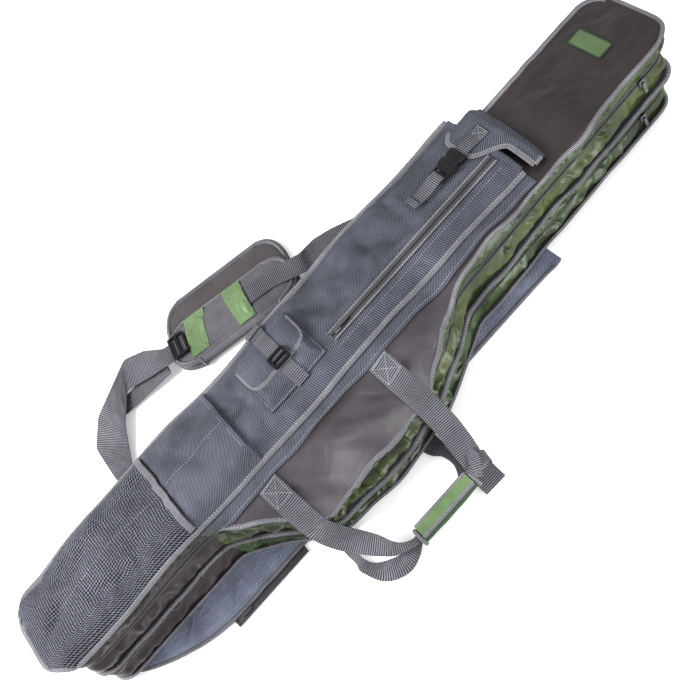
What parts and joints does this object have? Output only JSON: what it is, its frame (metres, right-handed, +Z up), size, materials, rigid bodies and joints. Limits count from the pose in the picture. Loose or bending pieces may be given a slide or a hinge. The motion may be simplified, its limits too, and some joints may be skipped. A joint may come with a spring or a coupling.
{
  "type": "rod case",
  "caption": "Soft fishing-rod holdall lying flat: zipped rod compartments with a reel bulge, flat front pocket, buckled end flap, carrying handles and padded shoulder strap.",
  "frame": {"origin": "on the flat underside of the rear pocket, on which the bag lies, midway along its length", "axes": "+X along the bag towards the rod tips, +Y towards the spine and the shoulder strap, +Z up out of the front cover"},
  "size_m": [1.3002, 0.731, 0.1789],
  "materials": {
    "cover_cloth": "coated oxford weave",
    "pocket_cloth": "ribbed polyester weave",
    "green_nylon": "crinkled satin nylon",
    "green_patch": "light green ribbed cloth",
    "webbing": "ribbed polyester webbing",
    "mesh_cloth": "coarse mesh weave",
    "lining": "smooth lining",
    "zip_tape": "zip tape with coil teeth",
    "black_plastic": "moulded acetal",
    "zip_metal": "dark lacquered zinc"
  },
  "bodies": {
    "rear_case": {"back_panel": "cover_cloth", "rear_wall_lower": "green_nylon", "rear_zip_lower": "zip_tape", "rear_spine_wall": "cover_cloth", "rear_pocket_bottom": "pocket_cloth", "rear_pocket_top": "pocket_cloth", "rear_pocket_zip": "zip_tape", "rear_handle_anchor_butt": "webbing", "rear_handle_anchor_tip": "webbing", "shoulder_tab_butt": "webbing", "shoulder_tab_tip": "webbing"},
    "middle_leaf": {"divider_panel": "lining", "rear_wall_upper": "green_nylon", "rear_zip_upper": "zip_tape", "front_wall_lower": "green_nylon", "front_zip_lower": "zip_tape", "front_spine_wall": "cover_cloth"},
    "front_leaf": {"front_cover": "cover_cloth", "front_wall_upper": "green_nylon", "front_zip_upper": "zip_tape", "edge_strip": "pocket_cloth", "front_pocket_back": "pocket_cloth", "front_pocket_front": "pocket_cloth", "mesh_pocket": "mesh_cloth", "slip_pocket": "pocket_cloth", "small_pocket_front": "pocket_cloth", "long_zip": "zip_tape", "buckle_anchor_web": "webbing", "front_handle_run_butt": "webbing", "front_handle_run_tip": "webbing", "cover_patch": "green_patch"},
    "front_zip_slider": {"front_zip_slider": "zip_metal"},
    "front_zip_pull": {"front_zip_pull": "zip_metal"},
    "rear_zip_slider": {"rear_zip_slider": "zip_metal"},
    "rear_zip_pull": {"rear_zip_pull": "zip_metal"},
    "long_zip_slider": {"long_zip_slider": "zip_metal"},
    "long_zip_pull": {"long_zip_pull": "zip_metal"},
    "rear_pocket_slider": {"rear_pocket_slider": "zip_metal"},
    "rear_pocket_pull": {"rear_pocket_pull": "zip_metal"},
    "rear_rod_tie_butt": {"rear_rod_tie_butt": "webbing"},
    "rear_rod_tie_tip": {"rear_rod_tie_tip": "webbing"},
    "front_rod_tie_butt": {"front_rod_tie_butt": "webbing"},
    "front_rod_tie_tip": {"front_rod_tie_tip": "webbing"},
    "small_flap": {"small_pocket_flap": "pocket_cloth", "small_pocket_strap": "webbing", "small_pocket_buckle": "black_plastic"},
    "end_flap": {"end_flap": "pocket_cloth", "flap_web": "webbing", "buckle_socket": "black_plastic"},
    "buckle_plug": {"buckle_plug": "black_plastic", "buckle_tail": "webbing"},
    "front_handle": {"front_handle_butt": "webbing", "front_handle_tip": "webbing", "handle_grip": "green_patch"},
    "grip_flap": {"grip_flap": "green_patch"},
    "rear_handle": {"rear_handle": "webbing"},
    "shoulder_strap": {"shoulder_strap_short": "webbing", "shoulder_strap_long": "webbing"},
    "shoulder_pad": {"shoulder_pad": "cover_cloth"},
    "strap_adjuster": {"strap_adjuster": "black_plastic"}
  },
  "joints": [
    {"name": "rear_compartment_hinge", "type": "hinge", "parent": "rear_case", "child": "middle_leaf", "pos_m": [0, 0.045, 0.0654], "axis": [1, 0, 0], "range_deg": [-90, 0]},
    {"name": "front_compartment_hinge", "type": "hinge", "parent": "middle_leaf", "child": "front_leaf", "pos_m": [0, 0.045, 0.1404], "axis": [-1, 0, 0], "range_deg": [0, 90]},
    {"name": "front_zip_slide", "type": "slide", "parent": "middle_leaf", "child": "front_zip_slider", "axis": [-0.9995, -0.0306, 0], "range_m": [0, 0.375]},
    {"name": "front_zip_pull_swing", "type": "hinge", "parent": "front_zip_slider", "child": "front_zip_pull", "pos_m": [0.575, -0.11655, 0.10091], "axis": [-1, 0, 0], "range_deg": [0, 170]},
    {"name": "rear_zip_slide", "type": "slide", "parent": "rear_case", "child": "rear_zip_slider", "axis": [-0.9995, -0.0306, 0], "range_m": [0, 0.355]},
    {"name": "rear_zip_pull_swing", "type": "hinge", "parent": "rear_zip_slider", "child": "rear_zip_pull", "pos_m": [0.555, -0.11716, 0.03876], "axis": [-1, 0, 0], "range_deg": [0, 170]},
    {"name": "long_zip_slide", "type": "slide", "parent": "front_leaf", "child": "long_zip_slider", "axis": [1, 0, 0], "range_m": [0, 0.3]},
    {"name": "long_zip_pull_swing", "type": "hinge", "parent": "long_zip_slider", "child": "long_zip_pull", "pos_m": [0.007, -0.045, 0.163], "axis": [0, -1, 0], "range_deg": [0, 170]},
    {"name": "rear_pocket_slide", "type": "slide", "parent": "rear_case", "child": "rear_pocket_slider", "axis": [1, 0, 0], "range_m": [0, 0.13]},
    {"name": "rear_pocket_pull_swing", "type": "hinge", "parent": "rear_pocket_slider", "child": "rear_pocket_pull", "pos_m": [-0.413, -0.1568, 0.0067], "axis": [0, -1, 0], "range_deg": [0, 170]},
    {"name": "rear_rod_tie_butt_fold", "type": "hinge", "parent": "rear_case", "child": "rear_rod_tie_butt", "pos_m": [-0.46, 0.01, 0.0168], "axis": [-1, 0, 0], "range_deg": [0, 80]},
    {"name": "front_rod_tie_butt_fold", "type": "hinge", "parent": "middle_leaf", "child": "front_rod_tie_butt", "pos_m": [-0.46, 0.01, 0.0668], "axis": [-1, 0, 0], "range_deg": [0, 80]},
    {"name": "rear_rod_tie_tip_fold", "type": "hinge", "parent": "rear_case", "child": "rear_rod_tie_tip", "pos_m": [0.34, 0.01, 0.0168], "axis": [-1, 0, 0], "range_deg": [0, 80]},
    {"name": "front_rod_tie_tip_fold", "type": "hinge", "parent": "middle_leaf", "child": "front_rod_tie_tip", "pos_m": [0.34, 0.01, 0.0668], "axis": [-1, 0, 0], "range_deg": [0, 80]},
    {"name": "small_flap_hinge", "type": "hinge", "parent": "front_leaf", "child": "small_flap", "pos_m": [-0.087, 0.048, 0.1715], "axis": [-1, 0, 0], "range_deg": [0, 110]},
    {"name": "end_flap_hinge", "type": "hinge", "parent": "front_leaf", "child": "end_flap", "pos_m": [0.39, 0, 0.1571], "axis": [0, 1, 0], "range_deg": [0, 130]},
    {"name": "buckle_release", "type": "slide", "parent": "end_flap", "child": "buckle_plug", "axis": [-1, 0, 0], "range_m": [0, 0.034]},
    {"name": "front_handle_hinge", "type": "hinge", "parent": "front_leaf", "child": "front_handle", "pos_m": [0, -0.196, 0.0829], "axis": [-1, 0, 0], "range_deg": [0, 110]},
    {"name": "grip_flap_hinge", "type": "hinge", "parent": "front_handle", "child": "grip_flap", "pos_m": [0, -0.31, 0.03272], "axis": [1, 0, 0], "range_deg": [0, 120]},
    {"name": "rear_handle_hinge", "type": "hinge", "parent": "rear_case", "child": "rear_handle", "pos_m": [0, -0.202, 0.006], "axis": [-1, 0, 0], "range_deg": [0, 77]},
    {"name": "shoulder_strap_hinge", "type": "hinge", "parent": "rear_case", "child": "shoulder_strap", "pos_m": [0, 0.092, 0.0045], "axis": [1, 0, 0], "range_deg": [0, 55]},
    {"name": "shoulder_pad_slide", "type": "slide", "parent": "shoulder_strap", "child": "shoulder_pad", "axis": [0.9636, -0.2672, 0], "range_m": [0, 0.02]},
    {"name": "strap_adjuster_slide", "type": "slide", "parent": "shoulder_strap", "child": "strap_adjuster", "axis": [-0.9636, 0.2672, 0], "range_m": [0, 0.02]}
  ],
  "couplings": [
    {"joint": "rear_handle_hinge", "follows": "front_handle_hinge", "ratio": 0.7}
  ]
}
